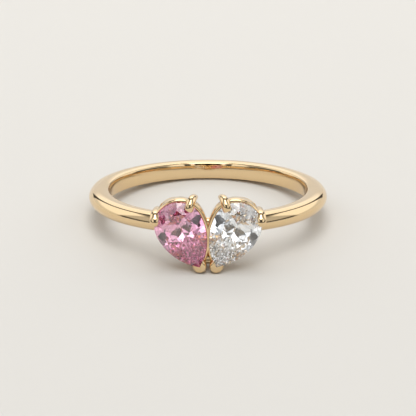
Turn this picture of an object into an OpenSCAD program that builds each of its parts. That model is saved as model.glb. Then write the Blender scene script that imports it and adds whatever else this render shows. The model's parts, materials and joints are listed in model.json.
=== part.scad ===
/* [Band] */
// Inner diameter, the finger size
finger_d = 16.5; // [16:0.1:18]
// Thickness of the band, measured outwards from the finger
band_t = 1.7; // [1.5:0.05:1.9]
// Width of the band along the finger
band_w = 1.5; // [1.4:0.05:1.8]
// How far the sides fall from their crest to the outer edge
side_fall = 0.13; // [0.1:0.01:0.16]
// Angle from the middle of the head to each end of the band
band_end_angle = 23; // [22:1:26]

/* [Stones] */
// Width of each pear-cut stone
stone_w = 4.0; // [3.9:0.02:4.1]
// Length of each pear-cut stone, round end to point
stone_l = 5.9; // [5.8:0.02:6.0]
// Depth of the stone below its girdle, the pavilion
pavilion_h = 1.74; // [1.6:0.02:1.8]
// Height of the stone above its girdle, the crown
crown_h = 0.6; // [0.5:0.02:0.7]
// Thickness of the girdle
girdle_t = 0.1; // [0.06:0.01:0.14]
// Width of the table as a share of the stone's width
table_share = 0.58; // [0.54:0.01:0.62]
// Gap between each stone and the metal around it
stone_gap = 0.05; // [0.04:0.01:0.06]

/* [Head] */
// Angle by which each stone leans, its point towards the middle
stone_lean = 26.8; // [26:0.2:27.6]
// Distance from the ring's middle to the centre of each stone's round end
stone_x = 2.4; // [2.38:0.02:2.5]
// Height of the round ends' centres above the band's middle, along the finger
stone_z = 0.25; // [0.1:0.05:0.4]
// Height of the girdles above the finger's surface
girdle_lift = 2.2; // [2.15:0.05:2.4]
// Width of the V prongs across the stones' points
v_prong_d = 1.16; // [1.1:0.02:1.2]
// Height of the upper gallery rails, along the claws
rail_h = 0.95; // [0.8:0.05:1.1]
// Thickness of the lower rails, which rest on the finger
base_rail_t = 0.45; // [0.4:0.05:0.6]
// Diameter of the bars that join the baskets
bar_d = 0.6; // [0.5:0.05:0.7]

/* [Hidden] */

finger_r = finger_d / 2;
girdle_r = finger_r + girdle_lift;

// The pear outline: a half disc at the round end and two arcs that meet at the point
round_r = stone_w / 2;
point_y = stone_l - round_r;
wing_r = (round_r * round_r + point_y * point_y) / (2 * round_r);
wing_x = wing_r - round_r;
wing_sweep = asin(point_y / wing_r);
ROUND_STEPS = 20;
WING_STEPS = 12;

// How far the upper rails stand out beyond the stones, and how far they are set towards the top middle
rail_out = 0.12;
rail_shift = 0.14;
rail_in = 0.35;
rail_drop = 0.05;
// How far the lower rails lie inside the stones' outline, and how high they reach above the finger
base_in = 0.2;
base_rise = 0.65;
// The head's underside stays this far off the finger's surface, just behind the band's inner face
head_clear = 0.03;
BIG = 30;

// Band section, in distances outwards from the finger and heights along it. The sides fall from a soft
// crest to a crisp outer edge, where the domed outer face starts, and turn inwards over a small corner to
// the inner face, which flares a little towards its edges
band_high = band_w / 2;
crest_out = 0.72;
edge_out = band_t - 0.34;
edge_up = band_high - side_fall;
EDGE_ROUNDING = 0.1;
corner_start = [0.2, band_high - 0.04];
corner_middle = [0.078, band_high - 0.059];
corner_end = [0.057, band_high - 0.15];
inner_flare = [[0.038, 0.25], [0.022, 0.36], [0.01, 0.47], [0, 0.575]];
DOME_STEPS = 7;
SIDE_STEPS = 4;
CORNER_STEPS = 3;
function dome_point(share) = [band_t - (band_t - edge_out) * share * share, edge_up * share];
function side_point(share) = [
    crest_out + (edge_out - crest_out) * share, band_high - side_fall * share * share];
function crest_point(share) = [
    crest_out + (corner_start[0] - crest_out) * share,
    band_high - (band_high - corner_start[1]) * share * share];
function rounded(a, b, c, share) =
    (1 - share) * (1 - share) * a + 2 * share * (1 - share) * b + share * share * c;
dome_stop = 1 - EDGE_ROUNDING / edge_up;
side_stop = 1 - EDGE_ROUNDING / (edge_out - crest_out);
half_section = concat(
    [for (i = [0 : DOME_STEPS]) dome_point(dome_stop * i / DOME_STEPS)],
    [for (i = [1 : CORNER_STEPS - 1])
        rounded(dome_point(dome_stop), [edge_out, edge_up], side_point(side_stop), i / CORNER_STEPS)],
    [for (i = [SIDE_STEPS : -1 : 0]) side_point(side_stop * i / SIDE_STEPS)],
    [crest_point(0.5)],
    [for (i = [0 : CORNER_STEPS]) rounded(corner_start, corner_middle, corner_end, i / CORNER_STEPS)],
    [for (point = inner_flare) [point[0], band_high - point[1]]]);
other_half = [for (i = [len(half_section) - 1 : -1 : 1]) [half_section[i][0], -half_section[i][1]]];
band_section = [for (point = concat(half_section, other_half)) [finger_r + point[0], point[1]]];

// Pear outline grown outwards by g all round, its round end's centre at the origin, its point at -Y
function grown_sweep(g) = acos(wing_x / (wing_r + g));
function pear(g) = concat(
    [for (i = [0 : ROUND_STEPS]) (round_r + g) * [cos(180 * i / ROUND_STEPS), sin(180 * i / ROUND_STEPS)]],
    [for (i = [1 : WING_STEPS]) let (a = 180 + grown_sweep(g) * i / WING_STEPS)
        [wing_x + (wing_r + g) * cos(a), (wing_r + g) * sin(a)]],
    [for (i = [WING_STEPS - 1 : -1 : 1]) let (a = -grown_sweep(g) * i / WING_STEPS)
        [-wing_x + (wing_r + g) * cos(a), (wing_r + g) * sin(a)]]);

// Distance from the round end's centre to the girdle's tangent, whose normal is at angle a from +Y
function girdle_reach(a) = let (b = abs(a))
    b <= 90 ? round_r : b <= 90 + wing_sweep ? wing_r - wing_x * sin(b) : -point_y * cos(b);

// All that lies outside a facet plane
module outside_of(plane)
    rotate([0, 0, 90 + plane[0]])
        translate([plane[1], 0, plane[3]])
            rotate([0, -atan2(plane[1] - plane[2], plane[4] - plane[3]), 0])
                translate([0, -BIG / 2, -BIG / 2])
                    cube(BIG);

// A pear brilliant has a table, mains, stars and halves on the crown. The angles run from the round end to
// the point, and those between 0 and 180 come on both sides.
MAIN_ANGLES = [0, 42, 84, 120, 180];
STAR_ANGLES = [21, 63, 102, 145];
UPPER_HALF_ANGLES = [11, 31, 53, 73, 94, 111, 129, 143];
// Its pavilion has four tiers, which meet in the culet and in a keel towards the point. Each tier holds its
// angles, and two places that its facets pass: how far in from the girdle, and how far down, both as shares
// of the whole way to the keel.
KEEL_ANGLES = [0, 45, 90, 108, 126, 141, 180];
pavilion_tiers = [
    [[11, 34, 56, 79, 99, 117, 134], 0, 0, 0.3, 0.328],
    [KEEL_ANGLES, 0.25, 0.273, 0.65, 0.678],
    [[22.5, 67.5, 99, 117, 134], 0.6, 0.626, 1, 1],
    [KEEL_ANGLES, 0.7, 0.727, 1, 1]];
upper_half_share = table_share + 0.06;
star_low_share = 1.3;
star_high_share = table_share * 0.93;
// The culet is a tiny flat just above the point where the pavilion mains would meet
culet_z = 0.025 - pavilion_h;

// Facet planes. Each holds its angle, its reach at a low height and at a high one, and both heights.
function crown_plane(angle, low_share, high_share) = [
    angle, girdle_reach(angle) * low_share, girdle_reach(angle) * high_share,
    girdle_t, girdle_t + crown_h];
function pavilion_plane(angle, tier) = [
    angle, girdle_reach(angle) - round_r * tier[3], girdle_reach(angle) - round_r * tier[1],
    -pavilion_h * tier[4], -pavilion_h * tier[2]];

function both_sides(angle) = angle % 180 == 0 ? [angle] : [-angle, angle];
main_planes = [for (main = MAIN_ANGLES, angle = both_sides(main)) crown_plane(angle, 1, table_share)];
star_planes = [for (star = STAR_ANGLES, angle = both_sides(star))
    crown_plane(angle, star_low_share, star_high_share)];
half_planes = [for (half = UPPER_HALF_ANGLES, angle = both_sides(half))
    crown_plane(angle, 1, upper_half_share)];
pavilion_planes = [for (tier = pavilion_tiers, facet = tier[0], angle = both_sides(facet))
    pavilion_plane(angle, tier)];
facet_planes = concat(main_planes, star_planes, half_planes, pavilion_planes);

// Cuts the first facets off the rough stone, one after the other as a cutter does
module faceted(count)
    if (count == 0)
        translate([0, 0, culet_z])
            linear_extrude(height = girdle_t + crown_h - culet_z)
                polygon(pear(0));
    else
        difference() {
            faceted(count - 1);
            outside_of(facet_planes[count - 1]);
        }

module pear_stone()
    faceted(len(facet_planes));

// A closed solid through rings of points. The rings have the same count of points, and seen from
// beyond the last ring they run counter-clockwise
module loft(rings) {
    count = len(rings[0]);
    last = len(rings) - 1;
    sides = [for (i = [0 : last - 1], k = [0 : count - 1]) let (next = (k + 1) % count)
        [i * count + k, (i + 1) * count + k, (i + 1) * count + next, i * count + next]];
    caps = [
        [for (k = [0 : count - 1]) k],
        [for (k = [count - 1 : -1 : 0]) last * count + k]];
    polyhedron(points = [for (ring = rings) each ring], faces = concat(sides, caps), convexity = 4);
}

function at_height(outline, z) = [for (point = outline) [point[0], point[1], z]];

// The room a stone needs in the metal: its outline grown by the gap, straight round the girdle, narrowing
// to a keel below as the stone does, and tapered above. The taper clears the facets' corners, which stand
// out from the outline.
KEEL_INSETS = [1.9, 1.3, 0.7, 0];
straight_below = 0.15;
module stone_room() {
    crown_scale = table_share + 0.2;
    below = [for (inset = KEEL_INSETS)
        at_height(pear(stone_gap - inset), -straight_below - inset * pavilion_h / round_r)];
    crown = [
        at_height(pear(stone_gap), girdle_t),
        at_height(crown_scale * pear(stone_gap), girdle_t + crown_h + 2 * stone_gap)];
    loft(concat(below, crown));
}

// Sections of the claws. Columns: how far aside from the centre of the left stone's round end, how far
// along the finger and how high above the girdle its middle lies, half its width, and half its thickness
// across the bend
ROW_W = 3;
ROW_T = 4;
inner_claw = [
    [1.24, 1.72, -2.35, 0.24, 0.22],
    [1.28, 1.88, -1.95, 0.29, 0.26],
    [1.27, 2.07, -1.3, 0.32, 0.28],
    [1.2, 2.21, -0.7, 0.34, 0.3],
    [1.11, 2.22, -0.15, 0.36, 0.32],
    [1.02, 2.09, 0.22, 0.37, 0.34],
    [0.93, 1.86, 0.43, 0.38, 0.34],
    [0.86, 1.58, 0.5, 0.38, 0.31],
    [0.82, 1.35, 0.46, 0.34, 0.26],
    [0.79, 1.18, 0.4, 0.25, 0.18],
    [0.78, 1.08, 0.35, 0.11, 0.07]];
outer_claw = [
    [-1.74, 0.7, -2.35, 0.26, 0.26],
    [-1.78, 0.82, -2.05, 0.29, 0.29],
    [-1.84, 0.93, -1.3, 0.31, 0.31],
    [-1.9, 0.94, -0.5, 0.36, 0.33],
    [-1.92, 0.85, -0.02, 0.42, 0.34],
    [-1.93, 0.64, 0.27, 0.45, 0.33],
    [-1.94, 0.38, 0.4, 0.42, 0.28],
    [-1.95, 0.19, 0.41, 0.32, 0.19],
    [-1.96, 0.07, 0.37, 0.12, 0.07]];
CLAW_SIDES = 14;

// Sections square to the middle line, each turned about the side-to-side axis only
module claw(rows) {
    middles = [for (row = rows) [row[0], row[1], row[2]]];
    last = len(rows) - 1;
    loft([for (i = [0 : last])
        let (ahead = middles[min(i + 1, last)] - middles[max(i - 1, 0)], across = cross(ahead, [1, 0, 0]))
        let (bend = across / norm(across))
        [for (k = [0 : CLAW_SIDES - 1]) let (a = 360 * k / CLAW_SIDES)
            middles[i] + [rows[i][ROW_W] * cos(a), 0, 0] + bend * rows[i][ROW_T] * sin(a)]]);
}

// Sections of a V prong, round below and squarer towards the stone. Columns: how far in from the stone's
// point its middle lies, how high above the girdle, half its width and its reach inwards, both as shares of
// half the prong's thickness
PRONG_IN = 0;
PRONG_UP = 1;
PRONG_SHARE = 2;
PRONG_REACH = 3;
v_prong_rows = [
    [0.7, -2.14, 0.7, 0.7],
    [0.4, -1.2, 0.85, 0.85],
    [0.14, -0.4, 1, 0.92],
    [0.1, -0.05, 1, 0.9],
    [0.1, 0.14, 0.98, 0.88],
    [0.11, 0.25, 0.92, 0.82],
    [0.12, 0.33, 0.82, 0.74],
    [0.13, 0.38, 0.66, 0.6],
    [0.14, 0.4, 0.42, 0.4]];
// It touches the surface it lies on at this row
TOUCH_ROW = 2;
// Its top rises towards the ring's middle
PRONG_RISE = 0.16;
// Its two arms reach this far over the stone's edges
PRONG_LIP = 0.08;
V_PRONG_SIDES = 24;

function squared(a, reach) = a < 180
    ? [reach[0] * sign(cos(a)) * pow(abs(cos(a)), 0.6), reach[1] * pow(sin(a), 0.6)]
    : reach[0] * [cos(a), sin(a)];

// The prong is open above the stone's point, so its two arms stand along the stone's edges
module v_prong()
    difference() {
        loft([for (row = v_prong_rows) let (reach = v_prong_d / 2 * [row[PRONG_SHARE], row[PRONG_REACH]])
            [for (k = [0 : V_PRONG_SIDES - 1]) let (p = squared(360 * k / V_PRONG_SIDES, reach))
                [p[0], row[PRONG_IN] - point_y + p[1], row[PRONG_UP] + PRONG_RISE * p[0]]]]);
        linear_extrude(height = crown_h)
            polygon(pear(-PRONG_LIP));
    }

// Upper gallery rail: a ribbon just under the girdle, set towards the top middle so that the stone
// hides it below
module upper_rail()
    translate([0, 0, -rail_drop - rail_h])
        linear_extrude(height = rail_h)
            difference() {
                rotate(-stone_lean)
                    translate([rail_shift, rail_shift])
                        rotate(stone_lean)
                            polygon(pear(rail_out));
                polygon(pear(-rail_in));
            }

// Lower rail: a smaller pear that stands on the finger
module lower_rail() {
    depth = girdle_lift + 1.2;
    translate([0, 0, -depth])
        linear_extrude(height = depth - girdle_lift + base_rise)
            difference() {
                polygon(pear(-base_in));
                polygon(pear(-base_in - base_rail_t));
            }
}

// Head space: X as the ring's, Y along the finger, Z outwards, its origin at the girdles' height
module head_space()
    rotate([90, 0, 0])
        translate([0, 0, girdle_r])
            children();

// Places parts about the centre of a stone's round end: the left one at side -1, the right one mirrored
// at side 1
module at_round_end(side)
    if (side < 0)
        translate([-stone_x, stone_z, 0])
            children();
    else
        mirror([1, 0, 0])
            at_round_end(-1)
                children();

module at_stone(side)
    at_round_end(side)
        rotate([0, 0, stone_lean])
            children();

module basket_half(side) {
    at_round_end(side) {
        claw(inner_claw);
        claw(outer_claw);
    }
    at_stone(side) {
        upper_rail();
        lower_rail();
        v_prong();
    }
}

// Bars between the two baskets. Columns: height along the finger, height above the girdle
bar_rows = [[-3.05, -1.45], [-2.6, -0.85], [-0.9, -1.85]];
BAR_HALF_L = 0.85;
bead_r = 0.36;
bead_at = [0, 0.5, -0.5];

module bars() {
    for (bar = bar_rows)
        translate([-BAR_HALF_L, bar[0], bar[1]])
            rotate([0, 90, 0])
                cylinder(d = bar_d, h = 2 * BAR_HALF_L, $fn = 48);
    translate(bead_at)
        sphere(r = bead_r, $fn = 48);
}

module setting()
    difference() {
        head_space()
            difference() {
                union() {
                    basket_half(-1);
                    basket_half(1);
                    bars();
                }
                at_stone(-1) stone_room();
                at_stone(1) stone_room();
            }
        translate([0, 0, -BIG / 2])
            cylinder(r = finger_r + head_clear, h = BIG, $fn = 180);
    }

module band()
    rotate([0, 0, -90 + band_end_angle])
        rotate_extrude(angle = 360 - 2 * band_end_angle, $fn = 180)
            polygon(band_section);

// The ring rests on its side, on the band's lower edge at the back and on both V prongs, so that the
// head stands higher than the back. The prongs touch just below the girdle, where they are thickest, and
// the band a little outside its crest.
prong_low = (point_y - v_prong_rows[TOUCH_ROW][PRONG_IN]) * cos(stone_lean) - stone_z + v_prong_d / 2;
prong_touch_r = girdle_r + v_prong_rows[TOUCH_ROW][PRONG_UP];
band_touch = side_point(0.39);
band_low = band_touch[1];
band_touch_r = finger_r + band_touch[0];
rest_tilt = atan2(prong_low - band_low, prong_touch_r + band_touch_r);
rest_z = prong_low * cos(rest_tilt) - prong_touch_r * sin(rest_tilt);
// The table's lower end reaches furthest to the front
table_low = point_y * cos(stone_lean) * table_share - stone_z;
front_y = (girdle_r + girdle_t + crown_h) * cos(rest_tilt) + table_low * sin(rest_tilt);
back_y = (finger_r + band_t) * cos(rest_tilt);
module at_rest()
    translate([0, (front_y - back_y) / 2, rest_z])
        rotate([-rest_tilt, 0, 0])
            children();

module band_and_setting()
    color("#e3bd78")
        at_rest() {
            band();
            setting();
        }

module pink_stone()
    color("#d984b3")
        at_rest()
            head_space()
                at_stone(-1)
                    pear_stone();

module clear_stone()
    color("#f0f2f7")
        at_rest()
            head_space()
                at_stone(1)
                    pear_stone();

band_and_setting();
pink_stone();
clear_stone();
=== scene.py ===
import json
import math
from types import SimpleNamespace

import bmesh
import bpy
from bpy.props import FloatProperty, FloatVectorProperty, PointerProperty
from mathutils import Matrix, Vector


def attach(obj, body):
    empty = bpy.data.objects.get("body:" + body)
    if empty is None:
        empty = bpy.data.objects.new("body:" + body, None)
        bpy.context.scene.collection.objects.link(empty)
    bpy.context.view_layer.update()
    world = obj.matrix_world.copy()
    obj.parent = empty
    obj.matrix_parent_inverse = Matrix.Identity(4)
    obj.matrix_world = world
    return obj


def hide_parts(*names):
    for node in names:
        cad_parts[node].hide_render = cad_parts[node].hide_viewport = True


bl_info = {
    "name": "Two-Stone Finger Ring",
    "version": (1, 0, 0),
    "blender": (4, 5, 0),
    "location": "3D View > Sidebar > Ring",
    "description": "Gold band and setting, a pink and a clear pear stone, and a pale studio",
    "category": "Object",
}

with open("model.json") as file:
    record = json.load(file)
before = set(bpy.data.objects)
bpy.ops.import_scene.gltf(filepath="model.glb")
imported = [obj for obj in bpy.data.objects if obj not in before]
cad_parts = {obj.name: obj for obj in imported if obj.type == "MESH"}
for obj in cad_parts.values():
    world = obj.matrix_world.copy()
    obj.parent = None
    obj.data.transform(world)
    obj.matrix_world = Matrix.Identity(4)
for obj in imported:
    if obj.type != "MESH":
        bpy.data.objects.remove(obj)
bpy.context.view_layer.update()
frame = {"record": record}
FINGER_HOLE = frame["record"]["mounts"][0]

MM = 0.001
UP = Vector((0, 0, 1))


# Colours, nodes and property values


def srgb(code):
    """An sRGB hex colour as linear red, green and blue."""
    parts = [int(code[i : i + 2], 16) / 255 for i in (1, 3, 5)]
    return tuple(c / 12.92 if c <= 0.04045 else ((c + 0.055) / 1.055) ** 2.4 for c in parts)


def add(tree, kind, inputs=None, **settings):
    """Adds a node with its own settings. An input, by name or number, gets a value or a node's output."""
    node = tree.nodes.new(kind)
    for name, value in settings.items():
        setattr(node, name, value)
    for key, value in (inputs or {}).items():
        if isinstance(value, bpy.types.NodeSocket):
            tree.links.new(node.inputs[key], value)
        else:
            node.inputs[key].default_value = value
    return node


def in_mm(group):
    """A property group's lengths in millimetres, and its other numbers as they are."""
    values = SimpleNamespace()
    for prop in group.bl_rna.properties:
        if prop.type == "FLOAT" and not prop.is_array:
            value = getattr(group, prop.identifier)
            setattr(values, prop.identifier, value / MM if prop.unit == "LENGTH" else value)
    return values


# Places: stone space, head space, ring space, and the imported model's


def head_to_ring(girdle_r):
    """Head space has Y along the finger, Z outwards, and its origin at the girdles' height."""
    return Matrix.Rotation(math.radians(90), 4, "X") @ Matrix.Translation((0, 0, girdle_r))


def round_end_to_head(stone, side):
    """The origin goes to the centre of a stone's round end. Side -1 is the left, and 1 its mirror."""
    left = Matrix.Translation((-stone.offset_x, stone.offset_z, 0))
    return left if side < 0 else Matrix.Scale(-1, 4, (1, 0, 0)) @ left


def stone_to_head(stone, side):
    """Stone space has the round end's centre as origin and the point towards -Y."""
    return round_end_to_head(stone, side) @ Matrix.Rotation(stone.lean, 4, "Z")


def ring_to_rest():
    """Lays the ring on its side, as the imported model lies, and goes from millimetres to metres."""
    axis = Vector(FINGER_HOLE["axis"])
    lean = Matrix.Rotation(-math.atan2(axis.y, axis.z), 4, "X")
    return Matrix.Translation(FINGER_HOLE["pos_m"]) @ lean @ Matrix.Scale(MM, 4)


# The pear outline

ROUND_STEPS = 48
WING_STEPS = 36


def pear_sizes(stone):
    """The round end's radius, the point's distance, the wings' radius, and their centres' distance."""
    round_r = stone.width / 2
    point_y = stone.length - round_r
    wing_r = (round_r**2 + point_y**2) / (2 * round_r)
    return round_r, point_y, wing_r, wing_r - round_r


def pear(stone, grown=0.0, height=0.0, shift=(0.0, 0.0)):
    """The outline grown outwards all round, as points that run counter-clockwise from the right."""
    round_r, _, wing_r, wing_x = pear_sizes(stone)
    sweep = math.acos(wing_x / (wing_r + grown))
    points = []
    for i in range(ROUND_STEPS + 1):
        a = math.pi * i / ROUND_STEPS
        points.append(((round_r + grown) * math.cos(a), (round_r + grown) * math.sin(a)))
    for i in range(1, WING_STEPS + 1):
        a = math.pi + sweep * i / WING_STEPS
        points.append((wing_x + (wing_r + grown) * math.cos(a), (wing_r + grown) * math.sin(a)))
    for i in range(WING_STEPS - 1, 0, -1):
        a = -sweep * i / WING_STEPS
        points.append((-wing_x + (wing_r + grown) * math.cos(a), (wing_r + grown) * math.sin(a)))
    return [Vector((x + shift[0], y + shift[1], height)) for x, y in points]


def girdle_reach(stone, angle):
    """Distance from the round end's centre to the girdle's tangent whose normal is at this angle from +Y."""
    round_r, point_y, wing_r, wing_x = pear_sizes(stone)
    angle = abs(angle)
    if angle <= 90:
        return round_r
    if angle <= 90 + math.degrees(math.asin(point_y / wing_r)):
        return wing_r - wing_x * math.sin(math.radians(angle))
    return -point_y * math.cos(math.radians(angle))


# Solids


def solid(name, bm, matrix=None):
    """Makes an object of a closed mesh, its faces turned outwards."""
    if matrix is not None:
        bmesh.ops.transform(bm, matrix=matrix, verts=bm.verts)
    bmesh.ops.recalc_face_normals(bm, faces=bm.faces)
    mesh = bpy.data.meshes.new(name)
    bm.to_mesh(mesh)
    bm.free()
    made = bpy.data.objects.new(name, mesh)
    bpy.context.scene.collection.objects.link(made)
    return made


def loft(name, rings, matrix=None, looped=False):
    """A solid through rings of points of the same count. A looped one goes back to its first ring."""
    bm = bmesh.new()
    rows = [[bm.verts.new(point) for point in ring] for ring in rings]
    count = len(rows[0])
    pairs = list(zip(rows, rows[1:]))
    if looped:
        pairs.append((rows[-1], rows[0]))
    for low, high in pairs:
        for k in range(count):
            m = (k + 1) % count
            bm.faces.new((low[k], low[m], high[m], high[k]))
    if not looped:
        bm.faces.new(rows[0])
        bm.faces.new(rows[-1])
    return solid(name, bm, matrix)


def joined(target, operation, others):
    """Welds others to a solid, or cuts them out of it, and removes them."""
    for other in others:
        cut = target.modifiers.new("join", "BOOLEAN")
        cut.operation = operation
        cut.solver = "MANIFOLD"
        cut.object = other
    depsgraph = bpy.context.evaluated_depsgraph_get()
    mesh = bpy.data.meshes.new_from_object(target.evaluated_get(depsgraph))
    target.modifiers.clear()
    old = target.data
    target.data = mesh
    bpy.data.meshes.remove(old)
    for other in others:
        bpy.data.meshes.remove(other.data)
    return target


def between(a, b, c, d, t):
    """A number on the smooth curve through four others, at share t from the second to the third."""
    return (2 * b + (c - a) * t + (2 * a - 5 * b + 4 * c - d) * t**2 + (3 * b - a - 3 * c + d) * t**3) / 2


def smooth_rows(rows, steps):
    """Rows of numbers with a smooth curve through them, a few steps for each gap."""
    padded = [rows[0], *rows, rows[-1]]
    made = []
    for near in zip(padded, padded[1:], padded[2:], padded[3:]):
        for i in range(steps):
            made.append([between(*numbers, i / steps) for numbers in zip(*near)])
    return made + [list(rows[-1])]


# Gold

# Steps round the band, along a curve of its section, and from one row of a claw or prong to the next
BAND_STEPS = 260
CURVE_STEPS = 12
ROW_STEPS = 4
# How far from the shoulder its rounding starts, on the dome and on the side
SHOULDER_ROUNDING = 0.1
# The section's inner part, outwards from the finger and down from the band's edge: where the side turns into
# the inner face, the corner that is rounded off, and the inner face's flare
INNER_CORNER = [(0.2, 0.04), (0.078, 0.059), (0.057, 0.15)]
INNER_FLARE = [(0.038, 0.25), (0.022, 0.36), (0.01, 0.47), (0, 0.575)]


def rounded(start, corner, end, share):
    """A point on the curve that rounds off a corner."""
    weights = ((1 - share) ** 2, 2 * share * (1 - share), share**2)
    return tuple(sum(w * p[i] for w, p in zip(weights, (start, corner, end))) for i in (0, 1))


def band_section(sizes):
    """The upper half of the shank's section, as (radius, height) points from the dome's middle over the side
    to the inner face. The side falls softly from its crest to a crisp shoulder, where the dome starts."""
    finger_r = sizes.finger_d / 2
    high = sizes.width / 2
    crest_r = finger_r + sizes.crest
    side_width = sizes.shoulder - sizes.crest
    shoulder = (finger_r + sizes.shoulder, high - sizes.fall)
    dome_end = 1 - SHOULDER_ROUNDING / shoulder[1]
    side_end = 1 - SHOULDER_ROUNDING / side_width

    def dome(share):
        bulge = sizes.thickness - sizes.shoulder
        return finger_r + sizes.thickness - bulge * share**2, shoulder[1] * share

    def side(share):
        return crest_r + side_width * share, high - sizes.fall * share**2

    steps = [i / CURVE_STEPS for i in range(CURVE_STEPS + 1)]
    inner_steps = steps[2:-1:2]
    points = [dome(share * dome_end) for share in steps]
    points += [rounded(dome(dome_end), shoulder, side(side_end), share) for share in inner_steps]
    points += [side((1 - share) * side_end) for share in steps]
    start, corner, end = [(finger_r + out, high - down) for out, down in INNER_CORNER]
    for share in inner_steps:
        points.append((crest_r + (start[0] - crest_r) * share, high - (high - start[1]) * share**2))
    points += [rounded(start, corner, end, share) for share in steps[::2]]
    return points + [(finger_r + out, high - down) for out, down in INNER_FLARE]


def band(sizes):
    """The shank: a flat inner face, flattish sides and a domed outer face, swept round the finger."""
    upper = band_section(sizes)
    section = upper + [(r, -z) for r, z in upper[:0:-1]]
    rings = []
    for i in range(BAND_STEPS + 1):
        a = -math.pi / 2 + sizes.end_angle + (2 * math.pi - 2 * sizes.end_angle) * i / BAND_STEPS
        rings.append([Vector((r * math.cos(a), r * math.sin(a), z)) for r, z in section])
    return loft("band", rings)


# A rail's section, counter-clockwise: how far out from the girdle, how high above it, and its share of the
# rail's shift towards the top middle
UPPER_RAIL = [
    (-0.35, -0.05, 0),
    (-0.35, -1.0, 0),
    (0.06, -1.0, 1),
    (0.1, -0.97, 1),
    (0.12, -0.92, 1),
    (0.12, -0.2, 1),
    (0.1, -0.13, 1),
    (0.04, -0.06, 1),
    (-0.02, -0.04, 1),
]


def upper_rail(stone, setting, side, place):
    """The gallery rail under the girdle, which follows the stone's outline."""
    shift = Matrix.Rotation(-stone.lean, 2) @ Vector((setting.rail_shift, setting.rail_shift))
    rings = [pear(stone, out, up, shift * share) for out, up, share in UPPER_RAIL]
    return loft(f"upper_rail_{side}", rings, place, looped=True)


# The bevel round the lower rails' tops
BASE_BEVEL = 0.08


def lower_rail(stone, setting, side, place, girdle_r, finger_r):
    """The ring of metal that stands on the finger and follows its curve."""

    def bottom(point):
        x = (stone_to_head(stone, side) @ point).x
        return point.xy.to_3d() + UP * (math.sqrt(finger_r**2 - x**2) - girdle_r)

    top = finger_r - girdle_r + setting.base_rise
    outer = pear(stone, -setting.base_in)
    inner = pear(stone, -setting.base_in - setting.base_thickness)
    rings = [
        [bottom(p) for p in outer],
        [p + UP * (top - BASE_BEVEL) for p in outer],
        [p + UP * top for p in pear(stone, -setting.base_in - BASE_BEVEL)],
        [p + UP * top for p in inner],
        [bottom(p) for p in inner],
    ]
    return loft(f"lower_rail_{side}", rings, place, looped=True)


# A claw's middle line and half thicknesses, in head space about the round end's centre: aside, along the
# finger, above the girdle, half the width, and half the thickness across the bend
INNER_CLAW = [
    (1.24, 1.72, -2.35, 0.24, 0.22),
    (1.28, 1.88, -1.95, 0.29, 0.26),
    (1.27, 2.07, -1.3, 0.32, 0.28),
    (1.2, 2.21, -0.7, 0.34, 0.3),
    (1.11, 2.22, -0.15, 0.36, 0.32),
    (1.02, 2.09, 0.22, 0.37, 0.34),
    (0.93, 1.86, 0.43, 0.38, 0.34),
    (0.86, 1.58, 0.5, 0.38, 0.31),
    (0.82, 1.35, 0.46, 0.34, 0.26),
    (0.79, 1.18, 0.4, 0.25, 0.18),
    (0.78, 1.08, 0.35, 0.11, 0.07),
]
OUTER_CLAW = [
    (-1.74, 0.7, -2.35, 0.26, 0.26),
    (-1.78, 0.82, -2.05, 0.29, 0.29),
    (-1.84, 0.93, -1.3, 0.31, 0.31),
    (-1.9, 0.94, -0.5, 0.36, 0.33),
    (-1.92, 0.85, -0.02, 0.42, 0.34),
    (-1.93, 0.64, 0.27, 0.45, 0.33),
    (-1.94, 0.38, 0.4, 0.42, 0.28),
    (-1.95, 0.19, 0.41, 0.32, 0.19),
    (-1.96, 0.07, 0.37, 0.12, 0.07),
]
CLAW_SIDES = 28


def claw(name, rows, place):
    """A finger of metal through the rows' sections, each square to the middle line."""
    rows = smooth_rows(rows, ROW_STEPS)
    middles = [Vector(row[:3]) for row in rows]
    rings = []
    for i, (x, y, z, wide, thick) in enumerate(rows):
        ahead = middles[min(i + 1, len(rows) - 1)] - middles[max(i - 1, 0)]
        bend = ahead.cross(Vector((1, 0, 0))).normalized() * thick
        side = Vector((wide, 0, 0))
        turns = [2 * math.pi * k / CLAW_SIDES for k in range(CLAW_SIDES)]
        rings.append([middles[i] + side * math.cos(a) + bend * math.sin(a) for a in turns])
    return loft(name, rings, place)


# Sections of a V prong, in stone space about the stone's point: how far in, how high above the girdle, half
# the width and the reach inwards, both as shares of half the prong's width
V_PRONG_ROWS = [
    (0.7, -2.14, 0.7, 0.7),
    (0.4, -1.2, 0.85, 0.85),
    (0.14, -0.4, 1, 0.92),
    (0.1, -0.05, 1, 0.9),
    (0.1, 0.14, 0.98, 0.88),
    (0.11, 0.25, 0.92, 0.82),
    (0.12, 0.33, 0.82, 0.74),
    (0.13, 0.38, 0.66, 0.6),
    (0.14, 0.4, 0.42, 0.4),
]
# How much its top rises for each millimetre aside, and how square it is towards the stone, where 1 is round
V_PRONG_RISE = 0.16
V_PRONG_SQUARENESS = 0.6
V_PRONG_SIDES = 48


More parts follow.
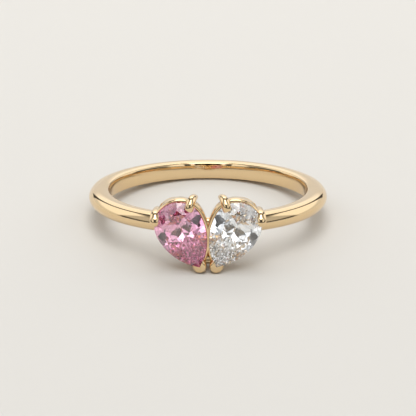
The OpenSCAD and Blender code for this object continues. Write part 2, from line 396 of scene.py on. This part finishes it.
def v_prong(stone, setting, side, place):
    """A post round the stone's point, open above it, so its two arms stand along the stone's edges. It is
    round outside and squarer towards the stone, and its top rises towards the ring's middle."""
    point_y = pear_sizes(stone)[1]
    rings = []
    for inwards, up, share, reach in smooth_rows(V_PRONG_ROWS, ROW_STEPS):
        ring = []
        for k in range(V_PRONG_SIDES):
            a = 2 * math.pi * k / V_PRONG_SIDES
            x, y = share * math.cos(a), share * math.sin(a)
            if k < V_PRONG_SIDES / 2:
                x = share * math.copysign(abs(math.cos(a)) ** V_PRONG_SQUARENESS, math.cos(a))
                y = reach * abs(math.sin(a)) ** V_PRONG_SQUARENESS
            x *= setting.v_prong_d / 2
            y *= setting.v_prong_d / 2
            ring.append(Vector((x, inwards - point_y + y, up + V_PRONG_RISE * x)))
        rings.append(ring)
    post = loft(f"v_prong_{side}", rings, place)
    slot = loft(f"v_slot_{side}", [pear(stone, -setting.v_lip, z) for z in (0, 1)], place)
    return joined(post, "DIFFERENCE", [slot])


# Bars between the two baskets: height along the finger, height above the girdle, and half their length
BARS = [(-3.05, -1.45), (-2.6, -0.85), (-0.9, -1.85)]
BAR_REACH = 0.85
# The bead where the two upper rails meet, in head space
BEAD_PLACE = (0, 0.5, -0.5)
BEAD_R = 0.36


def bars(setting, head):
    """The bars across the ring's middle, and the bead above them."""
    made = []
    for along, up in BARS:
        bm = bmesh.new()
        bmesh.ops.create_cone(
            bm,
            cap_ends=True,
            segments=40,
            radius1=setting.bar_d / 2,
            radius2=setting.bar_d / 2,
            depth=2 * BAR_REACH,
            matrix=Matrix.Translation((0, along, up)) @ Matrix.Rotation(math.radians(90), 4, "Y"),
        )
        made.append(solid(f"bar_{len(made)}", bm, head))
    bm = bmesh.new()
    bmesh.ops.create_icosphere(bm, subdivisions=4, radius=BEAD_R, matrix=Matrix.Translation(BEAD_PLACE))
    made.append(solid("bead", bm, head))
    return made


# A stone's seat in the metal: how far in its rings lie, from the keel to the girdle, how far they lie below
# the pavilion, and how much wider its top is than the table, as a share of the stone
ROOM_INSETS = (1.95, 1.6, 1.2, 0.8, 0.4, 0)
ROOM_DROP = 0.1
ROOM_TOP = 0.2


def stone_room(stone, setting, side, place):
    """The seat that a stone needs in the metal: its outline grown by the gap, with crown and keel."""
    gap = setting.stone_gap
    top = stone.girdle + stone.crown + 2 * gap
    rings = []
    for inset in ROOM_INSETS:
        rings.append(pear(stone, gap - inset, -ROOM_DROP - inset * keel_slope(stone)))
    rings.append(pear(stone, gap, stone.girdle))
    scale = stone.table_share + ROOM_TOP
    rings.append([Vector((p.x * scale, p.y * scale, top)) for p in pear(stone, gap)])
    return loft(f"stone_room_{side}", rings, place)


# The round bar that stands for the finger, where it is cut out of the head
FINGER_LENGTH = 12
FINGER_SIDES = 360


def finger(radius):
    bm = bmesh.new()
    bmesh.ops.create_cone(
        bm, cap_ends=True, segments=FINGER_SIDES, radius1=radius, radius2=radius, depth=FINGER_LENGTH
    )
    return solid("finger", bm)


def gold_body(sizes, stone, setting):
    """The band, both baskets, the bars and the bead, soldered into one and cut to seat the stones."""
    finger_r = sizes.finger_d / 2
    free_r = finger_r + setting.clearance
    girdle_r = finger_r + setting.girdle_lift
    head = head_to_ring(girdle_r)
    parts = bars(setting, head)
    rooms = []
    for side in (-1, 1):
        place = head @ stone_to_head(stone, side)
        parts.append(upper_rail(stone, setting, side, place))
        parts.append(lower_rail(stone, setting, side, place, girdle_r, free_r))
        upright = head @ round_end_to_head(stone, side)
        parts.append(claw(f"inner_claw_{side}", INNER_CLAW, upright))
        parts.append(claw(f"outer_claw_{side}", OUTER_CLAW, upright))
        parts.append(v_prong(stone, setting, side, place))
        rooms.append(stone_room(stone, setting, side, place))
    body = joined(parts[0], "UNION", parts[1:])
    body = joined(body, "DIFFERENCE", [*rooms, finger(free_r)])
    return joined(band(sizes), "UNION", [body])


# Stones

# Facet angles run from the round end to the point; those between 0 and 180 come on both sides
MAIN_ANGLES = [0, 42, 84, 120, 180]
STAR_ANGLES = [21, 63, 102, 145]
CROWN_HALF_ANGLES = [11, 31, 53, 73, 94, 111, 129, 143]
# Where the star facets meet the girdle's height and the table's, as shares of the girdle's and the table's
# reach, and how much wider than the table the half facets end, as a share of the stone
STAR_LOW = 1.3
STAR_HIGH = 0.93
HALF_EXTRA = 0.06
# The pavilion's tiers: facet angles, then two places that each facet passes, as shares of the way in from
# the girdle to the keel and of the way down. Seen through the table they break the light into small pieces.
KEEL_ANGLES = [0, 45, 90, 108, 126, 141, 180]
PAVILION_TIERS = [
    ([11, 34, 56, 79, 99, 117, 134], (0, 0), (0.3, 0.328)),
    (KEEL_ANGLES, (0.25, 0.273), (0.65, 0.678)),
    ([22.5, 67.5, 99, 117, 134], (0.6, 0.626), (1, 1)),
    (KEEL_ANGLES, (0.7, 0.727), (1, 1)),
]
# The keel is polished flat by this much, and the blank stands this much above and below the stone
KEEL_FLAT = 0.025
BLANK_MARGIN = 0.1


def both_sides(angles):
    return [side * a for a in angles for side in ((1,) if a % 180 == 0 else (-1, 1))]


def keel_slope(stone):
    """The pavilion's depth for each millimetre inwards from the girdle: its facets meet in a keel."""
    return stone.pavilion / (stone.width / 2)


def facet(angle, low_out, high_out, low_z, high_z):
    """A facet's plane, as a point and an outward normal, from its distance out at two heights."""
    turned = math.radians(90 + angle)
    out = Vector((math.cos(turned), math.sin(turned), 0))
    return out * low_out + UP * low_z, out * (high_z - low_z) - UP * (high_out - low_out)


def facets(stone):
    """The planes of the table, the keel, the crown's mains, stars and halves, and the pavilion's tiers."""
    round_r = stone.width / 2
    table_z = stone.girdle + stone.crown
    planes = [(UP * table_z, UP), (UP * (KEEL_FLAT - stone.pavilion), -UP)]
    for a in both_sides(MAIN_ANGLES):
        reach = girdle_reach(stone, a)
        planes.append(facet(a, reach, reach * stone.table_share, stone.girdle, table_z))
    for a in both_sides(STAR_ANGLES):
        reach = girdle_reach(stone, a)
        inner = reach * stone.table_share * STAR_HIGH
        planes.append(facet(a, reach * STAR_LOW, inner, stone.girdle, table_z))
    for a in both_sides(CROWN_HALF_ANGLES):
        reach = girdle_reach(stone, a)
        inner = reach * (stone.table_share + HALF_EXTRA)
        planes.append(facet(a, reach, inner, stone.girdle, table_z))
    for angles, (near_in, near_down), (far_in, far_down) in PAVILION_TIERS:
        for a in both_sides(angles):
            reach = girdle_reach(stone, a)
            low, high = -stone.pavilion * far_down, -stone.pavilion * near_down
            planes.append(facet(a, reach - round_r * far_in, reach - round_r * near_in, low, high))
    return planes


def cut_stone(name, stone, place):
    """Cuts the facets off a pear-shaped blank, one after the other."""
    low = -stone.pavilion - BLANK_MARGIN
    high = stone.girdle + stone.crown + BLANK_MARGIN
    blank = loft(name, [pear(stone, 0, z) for z in (low, high)])
    bm = bmesh.new()
    bm.from_mesh(blank.data)
    bpy.data.meshes.remove(blank.data)
    for point, normal in facets(stone):
        geometry = bm.verts[:] + bm.edges[:] + bm.faces[:]
        cut = bmesh.ops.bisect_plane(
            bm, geom=geometry, dist=1e-5, plane_co=point, plane_no=normal, clear_outer=True
        )
        rim = [e for e in cut["geom_cut"] if isinstance(e, bmesh.types.BMEdge)]
        if rim:
            bmesh.ops.contextual_create(bm, geom=rim)
    bmesh.ops.remove_doubles(bm, verts=bm.verts, dist=1e-4)
    return solid(name, bm, place)


# Materials

# Of a colour mix node's sockets, the two colours and their mix
FIRST_COLOUR = 6
SECOND_COLOUR = 7
MIXED_COLOUR = 2

# Sizes in metres: the polishing lines' spacing, and the cast skin's waves across and in height
POLISH_LINES = 0.06 * MM
SKIN_WAVES = 1.5 * MM
SKIN_HEIGHT = 0.01 * MM
# Diamond's index of refraction, and how strongly each stone colours light on its way through, per metre
DIAMOND_IOR = 2.417
PINK_DENSITY = 80
CLEAR_DENSITY = 5
# Painted shade: the card's colour is darkened towards the front, where the light falls off, over this
# distance either way, to this share of its colour
CARD_SHADE_SPAN = 50 * MM
CARD_FRONT_SHADE = 0.93
CARD_HALF = 1.5


def material(name):
    """An empty node material and its tree."""
    made = bpy.data.materials.new(name)
    made.use_nodes = True
    made.node_tree.nodes.clear()
    return made, made.node_tree


def polished_gold(finish):
    """Yellow gold, cast and then polished on a wheel: a clear mirror, with faint polishing lines and a skin
    that is not quite even."""
    made, tree = material("polished_cast_gold")
    place = add(tree, "ShaderNodeTexCoord").outputs["Object"]
    # Polishing lines: the real ones are finer, and these are as fine as the render can show
    lines = add(tree, "ShaderNodeTexNoise", {"Vector": place, "Scale": 1 / POLISH_LINES, "Detail": 2.0})
    # Soft unevenness of the cast skin
    skin = add(tree, "ShaderNodeTexNoise", {"Vector": place, "Scale": 1 / SKIN_WAVES, "Detail": 1.0})
    rough = add(
        tree,
        "ShaderNodeMapRange",
        {
            "Value": lines.outputs["Fac"],
            "From Min": 0.3,
            "From Max": 0.7,
            "To Min": finish.gold_roughness * 0.7,
            "To Max": finish.gold_roughness * 1.3,
        },
    )
    bump = add(
        tree,
        "ShaderNodeBump",
        {"Height": skin.outputs["Fac"], "Strength": 0.15, "Distance": SKIN_HEIGHT},
    )
    darker, lighter = ((*[min(1, c * share) for c in finish.gold_colour], 1) for share in (0.97, 1.03))
    tint = add(
        tree,
        "ShaderNodeMix",
        {"Factor": skin.outputs["Fac"], FIRST_COLOUR: darker, SECOND_COLOUR: lighter},
        data_type="RGBA",
    )
    shader = add(
        tree,
        "ShaderNodeBsdfPrincipled",
        {
            "Base Color": tint.outputs[MIXED_COLOUR],
            "Metallic": 1.0,
            "Roughness": rough.outputs["Result"],
            "Normal": bump.outputs["Normal"],
        },
    )
    add(tree, "ShaderNodeOutputMaterial", {"Surface": shader.outputs["BSDF"]})
    return made


def polished_diamond(name, colour, depth_colour, depth_density):
    """Diamond, cut and polished: mirror-flat facets, clear inside, its colour deeper where it is thick."""
    made, tree = material(name)
    shader = add(
        tree,
        "ShaderNodeBsdfPrincipled",
        {"Base Color": (*colour, 1), "Roughness": 0.0, "IOR": DIAMOND_IOR, "Transmission Weight": 1.0},
    )
    inside = add(
        tree,
        "ShaderNodeVolumeAbsorption",
        {"Color": (*depth_colour, 1), "Density": depth_density},
    )
    add(
        tree,
        "ShaderNodeOutputMaterial",
        {"Surface": shader.outputs["BSDF"], "Volume": inside.outputs["Volume"]},
    )
    return made


def matt_card(colour):
    """Matt card under the ring: pale, a little warm and without shine, with painted shade that darkens it a
    little towards the front, where the light falls off.
    """
    made, tree = material("matt_card")
    place = add(tree, "ShaderNodeTexCoord").outputs["Object"]
    along = add(tree, "ShaderNodeSeparateXYZ", {"Vector": place}).outputs["Y"]
    # Painted shade: the card's colour darkens towards the front, where the light falls off
    back = add(
        tree,
        "ShaderNodeMapRange",
        {"Value": along, "From Min": -CARD_SHADE_SPAN, "From Max": CARD_SHADE_SPAN, "To Min": 0.0, "To Max": 1.0},
    )
    front = (*[c * CARD_FRONT_SHADE for c in colour], 1)
    tone = add(
        tree,
        "ShaderNodeMix",
        {"Factor": back.outputs["Result"], FIRST_COLOUR: front, SECOND_COLOUR: (*colour, 1)},
        data_type="RGBA",
    )
    shader = add(
        tree,
        "ShaderNodeBsdfPrincipled",
        {"Base Color": tone.outputs[MIXED_COLOUR], "Roughness": 0.9, "Specular IOR Level": 0.1},
    )
    add(tree, "ShaderNodeOutputMaterial", {"Surface": shader.outputs["BSDF"]})
    return made


# Settings


class BandSizes(bpy.types.PropertyGroup):
    finger_d: FloatProperty(
        name="Finger", description="Inner diameter", default=16.5 * MM, unit="LENGTH"
    )
    thickness: FloatProperty(
        name="Thickness", description="Outwards from the finger", default=1.7 * MM, unit="LENGTH"
    )
    width: FloatProperty(
        name="Width", description="Along the finger", default=1.5 * MM, unit="LENGTH"
    )
    crest: FloatProperty(
        name="Crest", description="Finger to the sides' highest line", default=0.72 * MM, unit="LENGTH"
    )
    shoulder: FloatProperty(
        name="Shoulder", description="From the finger to the outer edge", default=1.36 * MM, unit="LENGTH"
    )
    fall: FloatProperty(
        name="Fall", description="The sides' drop at the outer edge", default=0.13 * MM, unit="LENGTH"
    )
    end_angle: FloatProperty(
        name="End", description="Head's middle to band's end", default=math.radians(23), unit="ROTATION"
    )


class StoneSizes(bpy.types.PropertyGroup):
    width: FloatProperty(
        name="Width", description="Across the stone", default=4.0 * MM, unit="LENGTH"
    )
    length: FloatProperty(
        name="Length", description="Round end to point", default=5.9 * MM, unit="LENGTH"
    )
    pavilion: FloatProperty(
        name="Pavilion", description="Depth below the girdle", default=1.74 * MM, unit="LENGTH"
    )
    crown: FloatProperty(
        name="Crown", description="Height above the girdle", default=0.6 * MM, unit="LENGTH"
    )
    girdle: FloatProperty(
        name="Girdle", description="Thickness of the girdle", default=0.1 * MM, unit="LENGTH"
    )
    table_share: FloatProperty(
        name="Table", description="Share of the width", default=0.58, subtype="FACTOR"
    )
    lean: FloatProperty(
        name="Lean", description="Point towards the middle", default=math.radians(26.8), unit="ROTATION"
    )
    offset_x: FloatProperty(
        name="Aside", description="Round end from the middle", default=2.4 * MM, unit="LENGTH"
    )
    offset_z: FloatProperty(
        name="Above", description="Round end above the band's middle", default=0.25 * MM, unit="LENGTH"
    )


class SettingSizes(bpy.types.PropertyGroup):
    girdle_lift: FloatProperty(
        name="Lift", description="Girdles above the finger", default=2.2 * MM, unit="LENGTH"
    )
    v_prong_d: FloatProperty(
        name="V prong", description="Thickness of a V prong", default=1.16 * MM, unit="LENGTH"
    )
    v_lip: FloatProperty(
        name="V lip", description="Reach over the stone's edge", default=0.08 * MM, unit="LENGTH"
    )
    bar_d: FloatProperty(
        name="Bar", description="Thickness of the bars", default=0.6 * MM, unit="LENGTH"
    )
    rail_shift: FloatProperty(
        name="Rail shift", description="Towards the top middle", default=0.14 * MM, unit="LENGTH"
    )
    base_in: FloatProperty(
        name="Base inset", description="Lower rail inside the stone", default=0.2 * MM, unit="LENGTH"
    )
    base_thickness: FloatProperty(
        name="Base", description="Lower rail's thickness", default=0.45 * MM, unit="LENGTH"
    )
    base_rise: FloatProperty(
        name="Base rise", description="Lower rail above the finger", default=0.65 * MM, unit="LENGTH"
    )
    stone_gap: FloatProperty(
        name="Gap", description="Between stone and metal", default=0.05 * MM, unit="LENGTH"
    )
    clearance: FloatProperty(
        name="Clearance", description="Head's underside off the finger", default=0.03 * MM, unit="LENGTH"
    )


class Finishes(bpy.types.PropertyGroup):
    gold_colour: FloatVectorProperty(
        name="Gold", description="Yellow gold", default=srgb("#ecd0a4"), subtype="COLOR"
    )
    gold_roughness: FloatProperty(
        name="Gold roughness", description="Of the polish", default=0.08, subtype="FACTOR"
    )
    pink_colour: FloatVectorProperty(
        name="Pink", description="Pink stone", default=srgb("#fccfe4"), subtype="COLOR"
    )
    pink_depth: FloatVectorProperty(
        name="Pink depth", description="Of light through it", default=srgb("#e884c6"), subtype="COLOR"
    )
    clear_colour: FloatVectorProperty(
        name="Clear", description="Clear stone", default=srgb("#f7fbff"), subtype="COLOR"
    )
    clear_depth: FloatVectorProperty(
        name="Clear depth", description="Of light through it", default=srgb("#fbfbff"), subtype="COLOR"
    )


class Studio(bpy.types.PropertyGroup):
    card_colour: FloatVectorProperty(
        name="Card", description="Under the ring", default=srgb("#dbd8d2"), subtype="COLOR"
    )
    view_up: FloatProperty(
        name="View height", description="Camera above the card", default=math.radians(23.88), unit="ROTATION"
    )
    view_distance: FloatProperty(
        name="View distance", description="Camera from the ring", default=0.45, unit="LENGTH"
    )
    view_width: FloatProperty(
        name="View width", description="Field at the ring", default=34.79 * MM, unit="LENGTH"
    )
    view_drop: FloatProperty(
        name="View drop", description="Picture's middle below the ring's", default=1.01 * MM, unit="LENGTH"
    )


# Operators

# Edges that turn by more than this stay sharp on the gold
SHARP_ANGLE = math.radians(38)


def dress(piece, node, finish):
    """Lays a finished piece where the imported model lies, in place of a node."""
    piece.data.transform(ring_to_rest())
    piece.data.materials.clear()
    piece.data.materials.append(finish)
    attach(piece, "root")
    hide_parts(node)


class CastGold(bpy.types.Operator):
    """Casts the band and setting as one polished body"""

    bl_idname = "ring.cast_gold"
    bl_label = "Gold Band and Setting"

    def execute(self, context):
        scene = context.scene
        body = gold_body(in_mm(scene.ring_band), in_mm(scene.ring_stones), in_mm(scene.ring_setting))
        body.name = body.data.name = "gold_band_and_setting"
        body.data.shade_smooth()
        body.data.set_sharp_from_angle(angle=SHARP_ANGLE)
        dress(body, "band_and_setting", polished_gold(scene.ring_finishes))
        return {"FINISHED"}


class CutStones(bpy.types.Operator):
    """Cuts the pink and the clear pear stone"""

    bl_idname = "ring.cut_stones"
    bl_label = "Pear Stones"

    def execute(self, context):
        scene = context.scene
        stone = in_mm(scene.ring_stones)
        girdle_r = in_mm(scene.ring_band).finger_d / 2 + in_mm(scene.ring_setting).girdle_lift
        look = scene.ring_finishes
        pink = polished_diamond("pink_diamond", look.pink_colour, look.pink_depth, PINK_DENSITY)
        clear = polished_diamond("clear_diamond", look.clear_colour, look.clear_depth, CLEAR_DENSITY)
        for side, name, node, slot_name, finish in (
            (-1, "pink_pear_stone", "pink_stone", "pink_gem", pink),
            (1, "clear_pear_stone", "clear_stone", "clear_gem", clear),
        ):
            piece = cut_stone(name, stone, head_to_ring(girdle_r) @ stone_to_head(stone, side))
            dress(piece, node, finish)
        return {"FINISHED"}


class LayStudio(bpy.types.Operator):
    """Lays the pale card, sets the soft lights and the camera"""

    bl_idname = "ring.lay_studio"
    bl_label = "Studio"

    def execute(self, context):
        scene = context.scene
        studio = scene.ring_studio
        bm = bmesh.new()
        bmesh.ops.create_grid(bm, x_segments=1, y_segments=1, size=CARD_HALF)
        card = solid("card", bm)
        card.data.materials.append(matt_card(studio.card_colour))
        hang_softboxes(scene)
        paint_walls(scene)
        aim_camera(scene, studio)
        scene.view_settings.view_transform = "Standard"
        # Light turns many times inside a cut stone before it leaves it
        scene.cycles.max_bounces = 32
        scene.cycles.glossy_bounces = 24
        scene.cycles.transmission_bounces = 24
        return {"FINISHED"}


# Each softbox: width, depth and distance in metres, degrees behind the vertical, and radiance
SOFTBOXES = [
    ("high_softbox", 0.14, 0.12, 0.45, 32, 1.2),
    ("wide_softbox", 0.9, 0.9, 0.5, 0, 0.22),
]
# The walls' brightness by height above the card in degrees, behind the ring, beside it and in front
WALL_TONES = {
    "behind": [(0, 0.8), (8, 0.8), (13, 1.25), (47, 1.25), (53, 0.28), (74, 0.28), (80, 0.75)],
    "beside": [(0, 0.12), (13, 0.12), (18, 0.6), (46, 0.6), (53, 0.25), (74, 0.25), (80, 0.75)],
    "front": [(0, 0.25), (9, 0.25), (14, 1.2), (38, 1.2), (46, 1.95), (72, 1.95), (80, 0.8)],
}
# Where the walls beside and in front begin, in degrees from straight ahead, and half the blend between them
WALL_STARTS = {"beside": 95, "front": 48}
WALL_BLEND = 3
# Panels and dark stands, in front (1) or behind (-1): degrees aside from and to, height from and to, tone
PANELS = [
    (-1, 21, 31, 0, 60, 0.08),
    (1, 0, 14, 50, 90, 3.4),
    (-1, 0, 14, 76, 90, 3.4),
    (-1, 0, 11, 36, 50, 3.0),
    (1, 0, 15, 8, 38, 0.02),
    (1, 0, 20, 36, 43, 0.02),
    (1, 20, 27, 8, 50, 0.1),
]


def sine(degrees):
    return math.sin(math.radians(degrees))


def hang_softboxes(scene):
    """A small softbox behind the ring throws the shadow forwards, and a wide one overhead fills it."""
    for name, width, depth, distance, behind, radiance in SOFTBOXES:
        light = bpy.data.lights.new(name, "AREA")
        light.shape = "RECTANGLE"
        light.size = width
        light.size_y = depth
        light.energy = radiance * math.pi * width * depth
        tilt = math.radians(behind)
        lamp = bpy.data.objects.new(name, light)
        lamp.location = (0, distance * math.sin(tilt), distance * math.cos(tilt))
        lamp.rotation_euler = (-tilt, 0, 0)
        lamp.visible_glossy = False
        scene.collection.objects.link(lamp)


def paint_walls(scene):
    """Walls, panels and dark stands round the ring, which the gold and the stones mirror."""
    world = bpy.data.worlds.new("studio_walls")
    world.use_nodes = True
    scene.world = world
    tree = world.node_tree
    tree.nodes.clear()
    direction = add(tree, "ShaderNodeTexCoord").outputs["Generated"]
    parts = add(tree, "ShaderNodeSeparateXYZ", {"Vector": direction}).outputs
    height = parts["Z"]
    aside = add(tree, "ShaderNodeMath", {0: parts["X"]}, operation="ABSOLUTE").outputs[0]
    # How far forwards the direction points once it is laid level
    level = add(tree, "ShaderNodeVectorMath", {0: direction, 1: (1, -1, 0)}, operation="MULTIPLY")
    level = add(tree, "ShaderNodeVectorMath", {0: level.outputs["Vector"]}, operation="NORMALIZE")
    forwards = add(tree, "ShaderNodeSeparateXYZ", {"Vector": level.outputs["Vector"]}).outputs["Y"]

    tones = {}
    for wall, stops in WALL_TONES.items():
        ramp = add(tree, "ShaderNodeValToRGB", {"Fac": height})
        elements = ramp.color_ramp.elements
        while len(elements) < len(stops):
            elements.new(0.5)
        for element, (degrees, tone) in zip(elements, stops):
            element.position = sine(degrees)
            element.color = (tone, tone, tone, 1)
        tones[wall] = ramp.outputs["Color"]

    # What is laid over the walls behind, one after the other: how much of it shows where, and its tone
    layers = []
    for wall, start in WALL_STARTS.items():
        blend = {
            "Value": forwards,
            "From Min": math.cos(math.radians(start + WALL_BLEND)),
            "From Max": math.cos(math.radians(start - WALL_BLEND)),
        }
        layers.append((add(tree, "ShaderNodeMapRange", blend).outputs["Result"], tones[wall]))
    for facing, near, far, low, high, brightness in PANELS:
        half = "GREATER_THAN" if facing > 0 else "LESS_THAN"
        share = add(tree, "ShaderNodeMath", {0: forwards, 1: 0.0}, operation=half).outputs[0]
        for value, start, end in ((aside, sine(near), sine(far)), (height, sine(low), sine(high))):
            span = {0: value, 1: (start + end) / 2, 2: (end - start) / 2}
            within = add(tree, "ShaderNodeMath", span, operation="COMPARE").outputs[0]
            share = add(tree, "ShaderNodeMath", {0: share, 1: within}, operation="MULTIPLY").outputs[0]
        layers.append((share, (brightness, brightness, brightness, 1)))
    tone = tones["behind"]
    for share, laid in layers:
        colours = {"Factor": share, FIRST_COLOUR: tone, SECOND_COLOUR: laid}
        tone = add(tree, "ShaderNodeMix", colours, data_type="RGBA").outputs[MIXED_COLOUR]
    shade = add(tree, "ShaderNodeBackground", {"Color": tone, "Strength": 1.0})
    add(tree, "ShaderNodeOutputWorld", {"Surface": shade.outputs["Background"]})


def aim_camera(scene, studio):
    """Aims the camera at the finger hole's middle, a little below it in the picture."""
    data = bpy.data.cameras.new("camera")
    data.lens = data.sensor_width * studio.view_distance / studio.view_width
    data.clip_start = 0.01
    camera = bpy.data.objects.new("camera", data)
    scene.collection.objects.link(camera)
    turned = Matrix.Rotation(math.radians(90) - studio.view_up, 4, "X")
    middle = Vector(FINGER_HOLE["pos_m"]) - turned.to_3x3() @ Vector((0, studio.view_drop, 0))
    away = turned.to_3x3() @ Vector((0, 0, studio.view_distance))
    camera.matrix_world = Matrix.Translation(middle + away) @ turned
    scene.camera = camera


class RingPanel(bpy.types.Panel):
    """Lists the ring's pieces and their settings"""

    bl_idname = "VIEW3D_PT_two_stone_ring"
    bl_label = "Two-Stone Ring"
    bl_space_type = "VIEW_3D"
    bl_region_type = "UI"
    bl_category = "Ring"

    def draw(self, context):
        for group, operator in PIECES:
            box = self.layout.box()
            settings = getattr(context.scene, group)
            for prop in settings.bl_rna.properties:
                if prop.identifier not in ("rna_type", "name"):
                    box.prop(settings, prop.identifier)
            if operator:
                box.operator(operator)


GROUPS = {
    "ring_band": BandSizes,
    "ring_stones": StoneSizes,
    "ring_setting": SettingSizes,
    "ring_finishes": Finishes,
    "ring_studio": Studio,
}
PIECES = [
    ("ring_band", None),
    ("ring_setting", "ring.cast_gold"),
    ("ring_stones", "ring.cut_stones"),
    ("ring_finishes", None),
    ("ring_studio", "ring.lay_studio"),
]
CLASSES = (*GROUPS.values(), CastGold, CutStones, LayStudio, RingPanel)


def register():
    for cls in CLASSES:
        bpy.utils.register_class(cls)
    for name, group in GROUPS.items():
        setattr(bpy.types.Scene, name, PointerProperty(type=group))


def unregister():
    for name in GROUPS:
        delattr(bpy.types.Scene, name)
    for cls in reversed(CLASSES):
        bpy.utils.unregister_class(cls)


def main():
    register()
    bpy.ops.ring.lay_studio()
    bpy.ops.ring.cast_gold()
    bpy.ops.ring.cut_stones()


if __name__ == "__main__":
    main()
